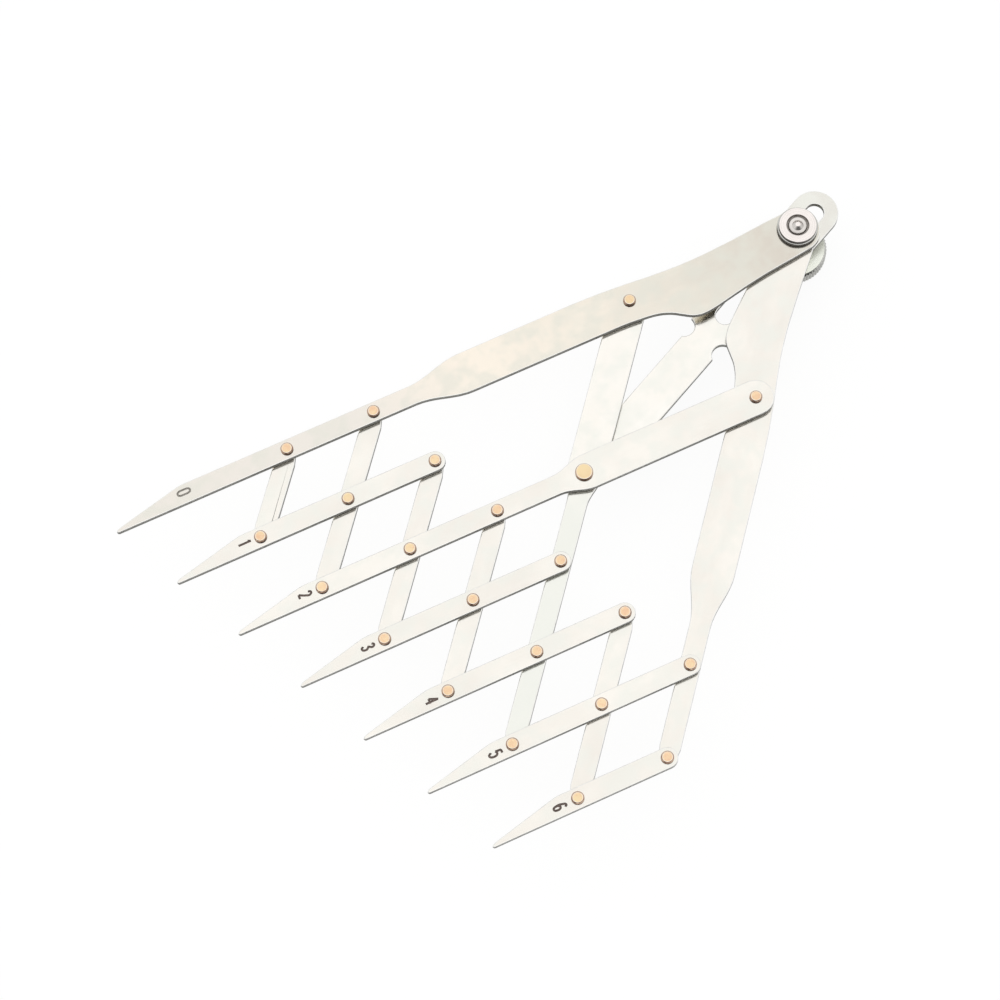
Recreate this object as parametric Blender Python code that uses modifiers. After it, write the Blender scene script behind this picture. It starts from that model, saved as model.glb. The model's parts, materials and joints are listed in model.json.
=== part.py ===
"""Equal spacing divider: seven point bars on a lattice of links, locked by a thumb screw in a strip.

The point bars lie side by side on top, the links cross under them, and a slotted strip runs below both.
Every crossing is riveted, so the whole lattice opens as one and the points stay evenly spaced.
Units are metres. The origin is the middle of the thumb screw's underside, +X runs to the points
and +Z comes out of the numbered face.
"""
import math

import bmesh
import bpy

# The lattice: rivets stand one pitch apart along every bar and link.
PITCH = 0.020
REST_SPACING = 0.01728
MIN_SPACING = 0.0075
MAX_SPACING = 0.0322

# Sheet and stack
SHEET = 0.0012
LAYER_GAP = 0.0003
SEAT_GAP = 0.0002

# Narrow bars and links
BAR_WIDTH = 0.0044
POINT_TRIM = 0.0003
TAPER_LENGTH = 0.0167
LINK_END_RADIUS = 0.00175
LINK_END_TAPER = 0.0026

# The two handle arms. The round of each hub lies a little off the pivot, towards the points
# and the arm's inner edge.
ARM_WIDTH = 0.0091
HUB_RADIUS = 0.0050
HUB_FORWARD = 0.00028
HUB_INWARD = 0.00046
SHOULDER_LENGTH = 0.0125

# The two inner levers, wide from their end rivet to the centre rivet
LEVER_WIDTH = 0.0078
LEVER_SHOULDER_LENGTH = 0.0075

# The slotted strip. It tapers to a small round on the centre rivet that stays hidden under the levers.
STRIP_WIDTH = 0.0085
STRIP_END_RADIUS = 0.0026
STRIP_TAPER_LENGTH = 0.0080
SLOT_END_WIDTH = 0.0103
SLOT_CLEARANCE = 0.0001
NOTCH_RADIUS = 0.0024
NOTCH_DEPTH = 0.00125

# Rivets
HOLE_CLEARANCE = 0.0001
RIVET_HEAD_RADIUS = 0.00135
RIVET_SHANK_RADIUS = 0.0010
CENTRE_HEAD_RADIUS = 0.0019
CENTRE_SHANK_RADIUS = 0.0014
HEAD_HEIGHT = 0.0006
HEAD_CHAMFER = 0.0002

# Thumb screw, washer and front nut on the pivot axis
SCREW_RADIUS = 0.00195
KNOB_RADIUS = 0.00725
KNOB_HEIGHT = 0.0040
KNURL_DEPTH = 0.00018
BOSS_RADIUS = 0.0040
BOSS_HEIGHT = 0.0049
JOIN_DEPTH = 0.0010
EDGE_CHAMFER = 0.0003
END_CHAMFER = 0.0002
END_STAND = 0.0001
PIP_RADIUS = 0.00095
PIP_HEIGHT = 0.0003
WASHER_RADIUS = 0.0050
WASHER_HEIGHT = 0.0005
NUT_RADIUS = 0.00405
NUT_HEIGHT = 0.0007
NUT_MOUTH = 0.0006
FLANGE_RADIUS = 0.0044
FLANGE_HEIGHT = 0.0008

# Counts and steps of the round stretches
KNURL_TEETH = 60
RIVET_STEPS = 16
PIVOT_STEPS = 24
END_STEPS = 12
TABLE_STEPS = 3
SHOULDER_STEPS = 8
MERGE_DISTANCE = 0.00001

# Edges of a handle arm, as shares: distance from the pivot in pitches, distance from the arm's
# middle line in half arm widths. The inner edge swells into a finger stop, the outer one is waisted.
ARM_INNER_SHARES = ((0.20, 1.31), (0.50, 1.46), (0.75, 1.63), (1.00, 1.84), (1.20, 2.01), (1.34, 2.06),
                    (1.45, 1.95), (1.55, 1.68), (1.65, 1.40), (1.78, 1.19), (1.95, 1.08), (2.20, 1.01),
                    (2.60, 1.00))
ARM_OUTER_SHARES = ((0.25, 0.945), (0.38, 0.895), (0.55, 0.83), (0.80, 0.75), (1.10, 0.68), (1.40, 0.68),
                    (1.70, 0.76), (2.00, 0.88), (2.30, 0.965), (2.60, 1.00))
ARM_SHOULDER_SHARE = 3.93
LEVER_SHOULDER_SHARE = 1.95
# Where the hub's arc meets the inner and the outer edge, as shares of half a turn
HUB_INNER_SHARE = 0.567
HUB_OUTER_SHARE = 0.461
# The taper of a point, as shares: along the taper, and across the bar from its outer edge
TAPER_SHARES = ((0.0, 0.0), (0.07, 0.02), (0.16, 0.09), (0.92, 0.76), (0.955, 0.80), (0.983, 0.85),
                (1.0, 0.92), (0.99, 0.98), (0.975, 1.0))

# Which rivets each piece holds. Bars count their rivets by link, links by bar, from the pivot's side.
PIVOT_LINK = 6
CENTRE_LINK = 4
CENTRE_BAR = 2
POINT_BAR_RIVETS = {0: (4, 1, 0), 1: (2, 1, 0), 2: (6, 4, 3, 2, 1), 3: (4, 3, 2), 4: (5, 4, 3),
                    5: (6, 5, 4), 6: (6, 5)}
LINK_RIVETS = {0: (0, 1), 1: (0, 1, 2), 2: (1, 2, 3), 3: (2, 3, 4), 4: (0, 2, 3, 4, 5), 5: (4, 5, 6),
               6: (2, 5, 6)}
# The rivet on which each piece turns in its neighbour, at which its own origin lies
BAR_HINGE_LINK = {0: 6, 1: 1, 2: 6, 3: 4, 4: 4, 5: 6, 6: 6}
LINK_HINGE_BAR = {0: 0, 1: 0, 2: 2, 3: 2, 4: 0, 5: 5, 6: 0}
BAR_NAMES = {0: "point_arm_0", 1: "point_bar_1", 2: "point_lever_2", 3: "point_bar_3", 4: "point_bar_4",
             5: "point_bar_5", 6: "point_bar_6"}
LINK_NAMES = {0: "link_0", 1: "link_1", 2: "link_2", 3: "link_3", 4: "link_lever_4", 5: "link_5",
              6: "handle_arm"}
# How many pitches past the pivot's line the points reach, counted on the first arm
POINT_ROWS = 8

# Heights, from the thumb screw's underside up
KNOB_TOP = KNOB_HEIGHT
BOSS_TOP = KNOB_TOP + BOSS_HEIGHT
WASHER_BOTTOM = BOSS_TOP + LAYER_GAP
WASHER_TOP = WASHER_BOTTOM + WASHER_HEIGHT
STRIP_BOTTOM = WASHER_TOP + LAYER_GAP
STRIP_TOP = STRIP_BOTTOM + SHEET
LINK_BOTTOM = STRIP_TOP + LAYER_GAP
LINK_TOP = LINK_BOTTOM + SHEET
BAR_BOTTOM = LINK_TOP + LAYER_GAP
BAR_TOP = BAR_BOTTOM + SHEET
HEAD_BOTTOM = BAR_TOP + SEAT_GAP
HEAD_TOP = HEAD_BOTTOM + HEAD_HEIGHT
FLANGE_BOTTOM = BAR_TOP + SEAT_GAP
FLANGE_TOP = FLANGE_BOTTOM + FLANGE_HEIGHT
NUT_TOP = FLANGE_TOP + NUT_HEIGHT

# Angles and reaches that follow from the sizes above
HALF_ANGLE = math.asin(REST_SPACING / (2 * PITCH))
MIN_HALF_ANGLE = math.asin(MIN_SPACING / (2 * PITCH))
MAX_HALF_ANGLE = math.asin(MAX_SPACING / (2 * PITCH))
RHOMBUS_SIDE = (PIVOT_LINK - CENTRE_LINK) * PITCH
SLOT_FAR = 2 * RHOMBUS_SIDE * math.cos(MIN_HALF_ANGLE)
SLOT_NEAR = 2 * RHOMBUS_SIDE * math.cos(MAX_HALF_ANGLE)
SLOT_RADIUS = SCREW_RADIUS + SLOT_CLEARANCE
PIVOT_BORE = SCREW_RADIUS + HOLE_CLEARANCE
RIVET_BORE = RIVET_SHANK_RADIUS + HOLE_CLEARANCE
CENTRE_BORE = CENTRE_SHANK_RADIUS + HOLE_CLEARANCE

STEEL = ((0.80, 0.79, 0.77, 1.0), 0.32, 1.0)
BRIGHT_STEEL = ((0.84, 0.83, 0.81, 1.0), 0.26, 1.0)
COPPER = ((0.90, 0.50, 0.30, 1.0), 0.30, 1.0)
SCREW_STEEL = ((0.62, 0.61, 0.60, 1.0), 0.34, 1.0)


def clear_scene():
    for thing in list(bpy.data.objects):
        bpy.data.objects.remove(thing, do_unlink=True)


def new_collection(name):
    collection = bpy.data.collections.new(name)
    bpy.context.scene.collection.children.link(collection)
    return collection


def material(name, finish):
    """A plain metal of its own for one sub-part: colour, roughness, metallic."""
    colour, roughness, metallic = finish
    made = bpy.data.materials.new(name)
    made.use_nodes = True
    shader = made.node_tree.nodes["Principled BSDF"]
    shader.inputs["Base Color"].default_value = colour
    shader.inputs["Roughness"].default_value = roughness
    shader.inputs["Metallic"].default_value = metallic
    return made


def lattice(link, bar):
    """Where the crossing of a link row and a bar lies in plan."""
    along = (PIVOT_LINK - link) + bar
    across = (link - PIVOT_LINK) + bar
    return (PITCH * math.cos(HALF_ANGLE) * along, PITCH * math.sin(HALF_ANGLE) * across)


def arc(centre_x, centre_y, radius, start, end, steps):
    """Points on an arc from one angle to another, both ends included."""
    turns = [start + (end - start) * step / steps for step in range(steps + 1)]
    return [(centre_x + radius * math.cos(turn), centre_y + radius * math.sin(turn)) for turn in turns]


def hole(place_x, radius, steps):
    return arc(place_x, 0.0, radius, 0.0, 2 * math.pi, steps)[:-1]


def smooth_through(points, steps):
    """A smooth line through the points, with a few steps between each two."""
    line = []
    last = len(points) - 1
    for index in range(last):
        before = points[max(index - 1, 0)]
        start = points[index]
        end = points[index + 1]
        after = points[min(index + 2, last)]
        for step in range(steps):
            share = step / steps
            line.append(tuple(hermite(before[axis], start[axis], end[axis], after[axis], share)
                              for axis in range(2)))
    line.append(points[last])
    return line


def hermite(before, start, end, after, share):
    """One coordinate between start and end, its slopes taken from the neighbours on both sides."""
    slope_start = (end - before) / 2
    slope_end = (after - start) / 2
    square = share * share
    cube = square * share
    return ((2 * cube - 3 * square + 1) * start + (cube - 2 * square + share) * slope_start
            + (3 * square - 2 * cube) * end + (cube - square) * slope_end)


def shoulder(start, length, wide_half, narrow_half):
    """An edge that eases from the wide to the narrow half width."""
    line = []
    for step in range(SHOULDER_STEPS + 1):
        share = step / SHOULDER_STEPS
        ease = (1 - math.cos(math.pi * share)) / 2
        line.append((start + length * share, wide_half + (narrow_half - wide_half) * ease))
    return line


def point_end(length):
    """The outline of a point, from the outer edge to the tip and back to the inner edge."""
    start = length - TAPER_LENGTH
    return [(start + TAPER_LENGTH * along, BAR_WIDTH * (across - 1 / 2)) for along, across in TAPER_SHARES]


def link_end(length):
    """The far end of a link, tapered to a small round that stays hidden under its bar."""
    start = length - LINK_END_TAPER
    half = BAR_WIDTH / 2
    tip = arc(length, 0.0, LINK_END_RADIUS, -math.pi / 2, math.pi / 2, END_STEPS)
    return [(start, -half)] + tip + [(start, half)]


def mirrored(line):
    return [(along, -across) for along, across in line]


def bar_outline(length):
    """A narrow bar from its round end at zero to its point."""
    return arc(0.0, 0.0, BAR_WIDTH / 2, math.pi / 2, 3 * math.pi / 2, END_STEPS) + point_end(length)


def link_outline(length):
    """A narrow link, the same at both ends."""
    far_end = link_end(length)
    near_end = [(length - along, -across) for along, across in far_end]
    return near_end + far_end


def lever_outline(length, pointed):
    """A bar that is wide as far as the centre rivet and narrow beyond it."""
    wide = LEVER_WIDTH / 2
    narrow = BAR_WIDTH / 2
    near_end = arc(0.0, 0.0, wide, math.pi / 2, 3 * math.pi / 2, END_STEPS)
    upper = shoulder(LEVER_SHOULDER_SHARE * PITCH, LEVER_SHOULDER_LENGTH, wide, narrow)
    far_end = point_end(length) if pointed else link_end(length)
    return near_end + mirrored(upper) + far_end + list(reversed(upper))


def arm_edge(shares):
    """One edge of a handle arm: its shaped stretch, then the shoulder down to the narrow bar."""
    half = ARM_WIDTH / 2
    shaped = smooth_through([(PITCH * along, half * across) for along, across in shares], TABLE_STEPS)
    return shaped + shoulder(ARM_SHOULDER_SHARE * PITCH, SHOULDER_LENGTH, half, BAR_WIDTH / 2)


def arm_outline(length, pointed):
    """A handle arm with its inner edge at the top, from the hub at zero to its far end."""
    inner_turn = math.pi * HUB_INNER_SHARE
    outer_turn = math.pi * (2 - HUB_OUTER_SHARE)
    hub = arc(HUB_FORWARD, HUB_INWARD, HUB_RADIUS, inner_turn, outer_turn, 2 * END_STEPS)
    outer = mirrored(arm_edge(ARM_OUTER_SHARES))
    inner = arm_edge(ARM_INNER_SHARES)
    far_end = point_end(length) if pointed else link_end(length)
    return hub + outer + far_end + list(reversed(inner))


def strip_outline():
    """The slotted strip, from its end on the centre rivet to the wide end round the slot."""
    narrow = STRIP_WIDTH / 2
    wide = SLOT_END_WIDTH / 2
    notch_middle = narrow - NOTCH_DEPTH + NOTCH_RADIUS
    near_turn = math.asin((notch_middle - narrow) / NOTCH_RADIUS)
    far_turn = math.asin((wide - notch_middle) / NOTCH_RADIUS)
    near_end = arc(0.0, 0.0, STRIP_END_RADIUS, math.pi / 2, 3 * math.pi / 2, END_STEPS)
    taper = [(STRIP_TAPER_LENGTH, -narrow)]
    notch = arc(RHOMBUS_SIDE, -notch_middle, NOTCH_RADIUS, math.pi - near_turn, -far_turn, END_STEPS)
    far_end = arc(SLOT_FAR, 0.0, wide, -math.pi / 2, math.pi / 2, 2 * END_STEPS)
    return near_end + taper + notch + far_end + list(reversed(mirrored(taper + notch)))


def slot_outline():
    near_end = arc(SLOT_NEAR, 0.0, SLOT_RADIUS, math.pi / 2, 3 * math.pi / 2, END_STEPS)
    return near_end + arc(SLOT_FAR, 0.0, SLOT_RADIUS, -math.pi / 2, math.pi / 2, END_STEPS)


def plate(name, loops, origin_along, thickness, finish, collection):
    """A flat piece cut from sheet: its outline and holes as loops, shifted so its hinge is its origin."""
    data = bpy.data.curves.new(name, "CURVE")
    data.dimensions = "2D"
    data.fill_mode = "BOTH"
    data.extrude = thickness / 2
    for loop in loops:
        spline = data.splines.new("POLY")
        spline.points.add(len(loop) - 1)
        for point, (along, across) in zip(spline.points, loop):
            point.co = (along - origin_along, across, 0.0, 1.0)
        spline.use_cyclic_u = True
    made = bpy.data.objects.new(name, data)
    data.materials.append(material(name, finish))
    collection.objects.link(made)
    return made


def turned(name, profile, closed, steps, finish, collection):
    """A turned piece: a profile of (radius, height) pairs, down its outer side, spun round its own Z."""
    data = bpy.data.meshes.new(name)
    edges = [(index, index + 1) for index in range(len(profile) - 1)]
    if closed:
        edges.append((len(profile) - 1, 0))
    data.from_pydata([(radius, 0.0, height) for radius, height in profile], edges, [])
    made = bpy.data.objects.new(name, data)
    data.materials.append(material(name, finish))
    collection.objects.link(made)
    spin = made.modifiers.new("spin", "SCREW")
    spin.axis = "Z"
    spin.steps = steps
    spin.render_steps = steps
    spin.use_merge_vertices = True
    spin.merge_threshold = MERGE_DISTANCE
    spin.use_smooth_shade = True
    return made


def rivet_profile(head_radius, shank_radius, bottom):
    """A rivet from its flat head down through the sheets to its formed tail, its top at height zero."""
    depth = bottom - HEAD_TOP
    tail_top = depth - SEAT_GAP
    return [(0.0, 0.0), (head_radius - HEAD_CHAMFER, 0.0), (head_radius, -HEAD_CHAMFER),
            (head_radius, -HEAD_HEIGHT), (shank_radius, -HEAD_HEIGHT), (shank_radius, tail_top),
            (head_radius, tail_top), (head_radius, tail_top - HEAD_HEIGHT + HEAD_CHAMFER),
            (head_radius - HEAD_CHAMFER, tail_top - HEAD_HEIGHT), (0.0, tail_top - HEAD_HEIGHT)]


def add_rivets(bar, carrier, origin_link, collection):
    """The rivets fixed in one point bar, each its own piece standing in the bar's own frame."""
    for link in POINT_BAR_RIVETS[bar]:
        centre = (link, bar) == (CENTRE_LINK, CENTRE_BAR)
        name = "centre_rivet" if centre else f"rivet_{BAR_NAMES[bar]}_{LINK_NAMES[link]}"
        head = CENTRE_HEAD_RADIUS if centre else RIVET_HEAD_RADIUS
        shank = CENTRE_SHANK_RADIUS if centre else RIVET_SHANK_RADIUS
        bottom = STRIP_BOTTOM if centre else LINK_BOTTOM
        rivet = turned(name, rivet_profile(head, shank, bottom), False, RIVET_STEPS, COPPER, collection)
        rivet.parent = carrier
        rivet.location = ((origin_link - link) * PITCH, 0.0, HEAD_TOP - (BAR_BOTTOM + BAR_TOP) / 2)


def rivet_hole(link, bar, along):
    centre = (link, bar) == (CENTRE_LINK, CENTRE_BAR)
    return hole(along, CENTRE_BORE if centre else RIVET_BORE, RIVET_STEPS)


def add_point_bar(bar, root, collection):
    """One bar of the numbered top layer, from its far rivet or the pivot to its point."""
    first_link = PIVOT_LINK if bar == 0 else POINT_BAR_RIVETS[bar][0]
    tip_link = PIVOT_LINK - POINT_ROWS + bar
    length = (first_link - tip_link) * PITCH - POINT_TRIM
    loops = [rivet_hole(link, bar, (first_link - link) * PITCH) for link in POINT_BAR_RIVETS[bar]]
    if bar == 0:
        loops = [arm_outline(length, True), hole(0.0, PIVOT_BORE, PIVOT_STEPS)] + loops
    elif bar == CENTRE_BAR:
        loops = [lever_outline(length, True)] + loops
    else:
        loops = [bar_outline(length)] + loops
    hinge = BAR_HINGE_LINK[bar]
    finish = STEEL if bar == 0 else BRIGHT_STEEL
    made = plate(BAR_NAMES[bar], loops, (first_link - hinge) * PITCH, SHEET, finish, collection)
    made.parent = root
    made.location = (*lattice(hinge, bar), (BAR_BOTTOM + BAR_TOP) / 2)
    made.rotation_euler = (0.0, 0.0, -HALF_ANGLE)
    add_rivets(bar, made, hinge, collection)


def add_link(link, root, collection):
    """One link of the middle layer, the second handle arm among them."""
    rivets = LINK_RIVETS[link]
    first_bar = 0 if link == PIVOT_LINK else rivets[0]
    length = (rivets[-1] - first_bar) * PITCH
    loops = [rivet_hole(link, bar, (bar - first_bar) * PITCH) for bar in rivets]
    if link == PIVOT_LINK:
        loops = [mirrored(arm_outline(length, False)), hole(0.0, PIVOT_BORE, PIVOT_STEPS)] + loops
    elif link == CENTRE_LINK:
        loops = [lever_outline(length, False)] + loops
    else:
        loops = [link_outline(length)] + loops
    hinge = LINK_HINGE_BAR[link]
    made = plate(LINK_NAMES[link], loops, (hinge - first_bar) * PITCH, SHEET, BRIGHT_STEEL, collection)
    made.parent = root
    made.location = (*lattice(link, hinge), (LINK_BOTTOM + LINK_TOP) / 2)
    made.rotation_euler = (0.0, 0.0, HALF_ANGLE)


def add_strip(root, collection):
    """The slotted strip, from the centre rivet back over the pivot, along the middle of the lattice."""
    loops = [strip_outline(), hole(0.0, CENTRE_BORE, RIVET_STEPS), slot_outline()]
    made = plate("slotted_strip", loops, 0.0, SHEET, BRIGHT_STEEL, collection)
    made.parent = root
    made.location = (*lattice(CENTRE_LINK, CENTRE_BAR), (STRIP_BOTTOM + STRIP_TOP) / 2)
    made.rotation_euler = (0.0, 0.0, math.pi)


def knurled_outline():
    """The grip's edge, crest and root in turn."""
    line = []
    for tooth in range(2 * KNURL_TEETH):
        radius = KNOB_RADIUS if tooth % 2 == 0 else KNOB_RADIUS - KNURL_DEPTH
        turn = math.pi * tooth / KNURL_TEETH
        line.append((radius * math.cos(turn), radius * math.sin(turn)))
    return line


def meshed(thing, collection):
    """The same piece as a mesh with its caps welded, because a curve takes no Boolean."""
    bpy.context.view_layer.update()
    graph = bpy.context.evaluated_depsgraph_get()
    data = bpy.data.meshes.new_from_object(thing.evaluated_get(graph))
    shape = bmesh_of(data)
    bmesh.ops.remove_doubles(shape, verts=shape.verts, dist=MERGE_DISTANCE)
    shape.to_mesh(data)
    shape.free()
    name = thing.name
    place = thing.matrix_world.copy()
    bpy.data.objects.remove(thing, do_unlink=True)
    data.name = name
    made = bpy.data.objects.new(name, data)
    made.matrix_world = place
    collection.objects.link(made)
    return made


def bmesh_of(data):
    shape = bmesh.new()
    shape.from_mesh(data)
    return shape


def add_thumb_screw(root, collection, cutters):
    """Knurled grip, boss and screw in one piece, its end standing in the front nut."""
    grip = plate("thumb_screw", [knurled_outline()], 0.0, KNOB_HEIGHT, SCREW_STEEL, collection)
    grip.location = (0.0, 0.0, KNOB_HEIGHT / 2)
    grip = meshed(grip, collection)
    end = NUT_TOP + END_STAND
    profile = [(0.0, end + PIP_HEIGHT), (PIP_RADIUS, end + PIP_HEIGHT), (PIP_RADIUS, end),
               (SCREW_RADIUS - END_CHAMFER, end), (SCREW_RADIUS, end - END_CHAMFER),
               (SCREW_RADIUS, BOSS_TOP),
               (BOSS_RADIUS - EDGE_CHAMFER, BOSS_TOP), (BOSS_RADIUS, BOSS_TOP - EDGE_CHAMFER),
               (BOSS_RADIUS, KNOB_TOP - JOIN_DEPTH), (0.0, KNOB_TOP - JOIN_DEPTH)]
    stem = turned("screw_stem", profile, False, PIVOT_STEPS, SCREW_STEEL, cutters)
    hide_cutter(stem)
    join = grip.modifiers.new("join", "BOOLEAN")
    join.operation = "UNION"
    join.object = stem
    grip.parent = root


def hide_cutter(thing):
    thing.hide_render = True
    thing.display_type = "WIRE"


def add_washer(root, collection):
    bore = PIVOT_BORE
    profile = [(bore, WASHER_TOP), (WASHER_RADIUS, WASHER_TOP), (WASHER_RADIUS, WASHER_BOTTOM),
               (bore, WASHER_BOTTOM)]
    turned("lock_washer", profile, True, PIVOT_STEPS, SCREW_STEEL, collection).parent = root


def add_front_nut(root, collection):
    """The round nut on the numbered face: a flange, a hub above it and a flared mouth."""
    bore = PIVOT_BORE
    profile = [(bore + NUT_MOUTH, NUT_TOP), (NUT_RADIUS - HEAD_CHAMFER, NUT_TOP),
               (NUT_RADIUS, NUT_TOP - HEAD_CHAMFER), (NUT_RADIUS, FLANGE_TOP), (FLANGE_RADIUS, FLANGE_TOP),
               (FLANGE_RADIUS, FLANGE_BOTTOM), (bore, FLANGE_BOTTOM), (bore, NUT_TOP - NUT_MOUTH)]
    turned("front_nut", profile, True, PIVOT_STEPS, STEEL, collection).parent = root


def build():
    clear_scene()
    parts = new_collection("equal_spacing_divider")
    cutters = new_collection("cutters")
    root = bpy.data.objects.new("pivot_axis", None)
    parts.objects.link(root)
    for bar in BAR_NAMES:
        add_point_bar(bar, root, parts)
    for link in LINK_NAMES:
        add_link(link, root, parts)
    add_strip(root, parts)
    add_thumb_screw(root, parts, cutters)
    add_washer(root, parts)
    add_front_nut(root, parts)


build()
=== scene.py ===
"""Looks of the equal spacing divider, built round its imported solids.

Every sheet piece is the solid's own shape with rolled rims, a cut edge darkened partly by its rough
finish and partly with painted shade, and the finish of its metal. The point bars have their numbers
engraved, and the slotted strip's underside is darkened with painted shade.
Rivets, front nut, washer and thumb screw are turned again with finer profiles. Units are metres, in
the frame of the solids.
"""

import json
import math

import bmesh
import bpy
from mathutils import Matrix, Vector

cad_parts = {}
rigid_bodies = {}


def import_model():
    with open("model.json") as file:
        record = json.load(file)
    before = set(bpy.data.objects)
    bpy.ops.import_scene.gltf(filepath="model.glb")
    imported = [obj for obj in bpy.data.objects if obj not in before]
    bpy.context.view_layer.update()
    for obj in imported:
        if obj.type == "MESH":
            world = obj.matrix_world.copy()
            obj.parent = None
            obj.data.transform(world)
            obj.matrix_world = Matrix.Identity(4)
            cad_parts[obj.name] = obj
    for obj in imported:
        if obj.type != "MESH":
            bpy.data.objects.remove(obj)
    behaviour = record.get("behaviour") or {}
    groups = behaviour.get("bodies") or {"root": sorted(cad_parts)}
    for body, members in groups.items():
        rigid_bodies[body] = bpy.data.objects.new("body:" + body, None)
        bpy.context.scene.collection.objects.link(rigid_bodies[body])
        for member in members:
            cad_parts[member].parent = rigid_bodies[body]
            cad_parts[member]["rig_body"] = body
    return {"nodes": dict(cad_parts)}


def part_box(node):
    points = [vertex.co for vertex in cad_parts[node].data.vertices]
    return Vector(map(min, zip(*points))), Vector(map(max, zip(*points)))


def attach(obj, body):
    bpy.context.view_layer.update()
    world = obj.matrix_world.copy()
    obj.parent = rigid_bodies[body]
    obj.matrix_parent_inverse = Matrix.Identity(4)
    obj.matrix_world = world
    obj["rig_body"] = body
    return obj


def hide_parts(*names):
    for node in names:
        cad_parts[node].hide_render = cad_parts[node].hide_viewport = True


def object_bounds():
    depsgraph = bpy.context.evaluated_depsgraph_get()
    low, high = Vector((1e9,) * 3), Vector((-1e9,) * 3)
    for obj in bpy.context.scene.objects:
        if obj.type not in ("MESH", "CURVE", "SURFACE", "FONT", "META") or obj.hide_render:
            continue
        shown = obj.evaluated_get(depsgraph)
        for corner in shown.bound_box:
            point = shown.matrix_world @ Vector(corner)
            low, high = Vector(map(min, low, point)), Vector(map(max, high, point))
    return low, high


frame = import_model()
solid_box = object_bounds()

# Directions and heights of the solids
HALF_ANGLE_SINE = 0.432
HALF_ANGLE = math.asin(HALF_ANGLE_SINE)
BAR_TURN = -HALF_ANGLE
LINK_TURN = HALF_ANGLE
BAR_WAY = Vector((math.cos(BAR_TURN), math.sin(BAR_TURN), 0.0))
BAR_LEFT = Vector((-BAR_WAY.y, BAR_WAY.x, 0.0))
BAR_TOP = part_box("point_arm_0")[1].z

# Sheet pieces
MERGE_DISTANCE = 0.000002
FLAT_LIMIT = math.radians(1.0)
FLAT_NORMAL = 0.9
SHARP_LIMIT = math.radians(40.0)
TOP_RIM_WIDTH = 0.00020
FOOT_RIM_WIDTH = 0.00005
RIM_SEGMENTS = 4
RIM_PROFILE = 0.5
LEVEL_NORMAL = 0.999
ROLLED_NORMAL = 0.5
# The finishes of a sheet piece by their places in its list. The fourth is that of the engraved
# faces on a point bar, and that of the underside on the slotted strip, darkened with painted shade.
FLAT = 0
ROLLED = 1
CUT = 2
ENGRAVED = 3
FOOT = 3

# Numbers engraved near the points
DIGIT_HEIGHT = 0.0028
DIGIT_SLIMNESS = 0.74
STROKE_RADIUS = 0.00026
FAINT_STROKE_RADIUS = 0.00024
STROKE_SINK = 0.00005
STROKE_SIDES = 2
STROKE_STEPS = 8

# Rivets
HEAD_RADIUS = 0.00135
SHANK_RADIUS = 0.0010
CENTRE_HEAD_RADIUS = 0.0019
CENTRE_SHANK_RADIUS = 0.0014
HEAD_HEIGHT = 0.0006
TOP_SHARE = 0.86
CENTRE_TOP_SHARE = 0.93
TOP_ROUNDING = 0.0002
SKIRT_DROP = 0.00022
DISH_DEPTH = 0.00003
RIVET_STEPS = 40
ROUND_STEPS = 4
SKIRT_NORMAL = 0.78
WALL_NORMAL = 0.40
# The rivet's top from its middle to its rim, as shares of the top's radius and of the dish's depth
TOP_SHARES = ((0.0, 0.9), (0.44, 1.0), (0.54, 1.6), (0.64, 0.6), (0.74, 0.0))

# Bore of the front nut and the washer
BORE_RADIUS = 0.00205

# Front nut
NUT_RADIUS = 0.00405
MOUTH_RADIUS = 0.00245
MOUTH_DEPTH = 0.0006
MOUTH_ROUNDING = 0.0001
FLANGE_RADIUS = 0.0044
FLANGE_HEIGHT = 0.0008
FLANGE_ROUNDING = 0.0001
NUT_ROUNDING = 0.00018
SIDE_NORMAL = 0.5
TURNED_STEPS = 96

# Washer
WASHER_RADIUS = 0.0050
WASHER_ROUNDING = 0.00008

# Thumb screw
SCREW_RADIUS = 0.00195
END_CHAMFER = 0.00009
BOSS_RADIUS = 0.0040
BOSS_TOP = 0.0089
BOSS_CHAMFER = 0.0003
KNOB_TOP = 0.0040
KNOB_RADIUS = 0.00725
KNOB_FACE_FALL = 0.0003
KNOB_SLOPE = 0.0005
KNOB_SLOPE_DROP = 0.00036
TOOTH_LEDGE = 0.0001
KNOB_FOOT_CHAMFER = 0.0004
KNURL_TEETH = 60
KNURL_DEPTH = 0.00018
KNURL_RINGS = 4
STEPS_PER_TOOTH = 4
CONE_RADIUS = 0.0012
CONE_TOP_RADIUS = 0.00052
CONE_HEIGHT = 0.0006
SCREW_END_NORMAL = 0.9

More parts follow.
